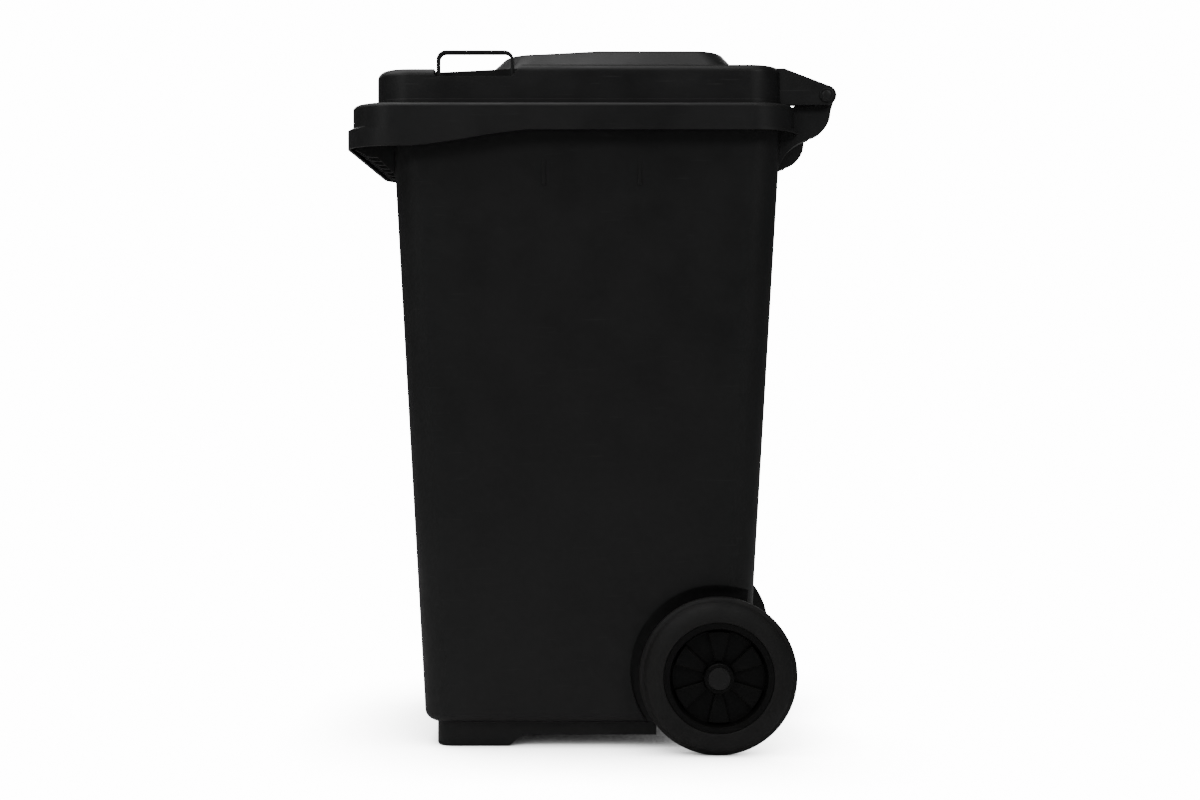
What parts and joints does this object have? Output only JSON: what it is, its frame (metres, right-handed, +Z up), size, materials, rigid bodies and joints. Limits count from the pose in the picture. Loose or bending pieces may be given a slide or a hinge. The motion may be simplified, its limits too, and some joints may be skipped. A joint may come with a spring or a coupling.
{
  "type": "wheelie bin",
  "caption": "Two-wheeled refuse bin: tapered tub with a deep rim and lifting comb, hinged domed lid with loop handles, rear grip bar, and spoked wheels on an axle.",
  "frame": {"origin": "centre of the bounding box's footprint, on the ground the bin stands on", "axes": "+Z up; the front and its lifting comb face -Y; the hinge, grip bar and wheels are at +Y; +X is on the right seen from the front, and nodes named right are at +X"},
  "size_m": [0.58, 0.74, 1.07],
  "materials": {
    "tub_plastic": "satin moulded polyethylene, fine grain",
    "lid_plastic": "satin moulded polyethylene, lightly scuffed",
    "wheel_plastic": "smooth moulded polypropylene",
    "pin_plastic": "smooth nylon",
    "tyre_rubber": "matt solid rubber",
    "buffer_rubber": "matt rubber",
    "axle_steel": "zinc-plated rod",
    "lock_steel": "plain bright steel"
  },
  "bodies": {
    "bin": {"bin_body": "tub_plastic", "hinge_pin_right": "pin_plastic", "hinge_pin_left": "pin_plastic", "lid_buffers": "buffer_rubber"},
    "lid": {"lid": "lid_plastic"},
    "axle": {"axle": "axle_steel", "axle_washer_right": "pin_plastic", "axle_washer_left": "pin_plastic"},
    "wheel_right": {"tyre_right": "tyre_rubber", "rim_right": "wheel_plastic", "hub_bush_right": "pin_plastic", "lock_spring_right": "lock_steel", "lock_plug_right": "pin_plastic", "hub_cap_right": "wheel_plastic"},
    "wheel_left": {"tyre_left": "tyre_rubber", "rim_left": "wheel_plastic", "hub_bush_left": "pin_plastic", "lock_spring_left": "lock_steel", "lock_plug_left": "pin_plastic", "hub_cap_left": "wheel_plastic"},
    "lock_right": {"lock_pin_right": "lock_steel"},
    "lock_left": {"lock_pin_left": "lock_steel"}
  },
  "joints": [
    {"name": "lid_hinge", "type": "hinge", "parent": "bin", "child": "lid", "pos_m": [0, 0.355, 0.99], "axis": [-1, 0, 0], "range_deg": [0, 264]},
    {"name": "axle_spin", "type": "hinge", "parent": "bin", "child": "axle", "pos_m": [0, 0.189, 0.118], "axis": [1, 0, 0], "continuous": true},
    {"name": "wheel_right_spin", "type": "hinge", "parent": "axle", "child": "wheel_right", "pos_m": [0, 0.189, 0.118], "axis": [1, 0, 0], "continuous": true},
    {"name": "wheel_left_spin", "type": "hinge", "parent": "axle", "child": "wheel_left", "pos_m": [0, 0.189, 0.118], "axis": [1, 0, 0], "continuous": true},
    {"name": "lock_pin_right_slide", "type": "slide", "parent": "wheel_right", "child": "lock_right", "axis": [0, 0, 1], "range_m": [0, 0.0024], "stiffness_N_per_m": 500, "springref_m": -0.003, "deforming": ["lock_spring_right"]},
    {"name": "lock_pin_left_slide", "type": "slide", "parent": "wheel_left", "child": "lock_left", "axis": [0, 0, 1], "range_m": [0, 0.0024], "stiffness_N_per_m": 500, "springref_m": -0.003, "deforming": ["lock_spring_left"]}
  ]
}
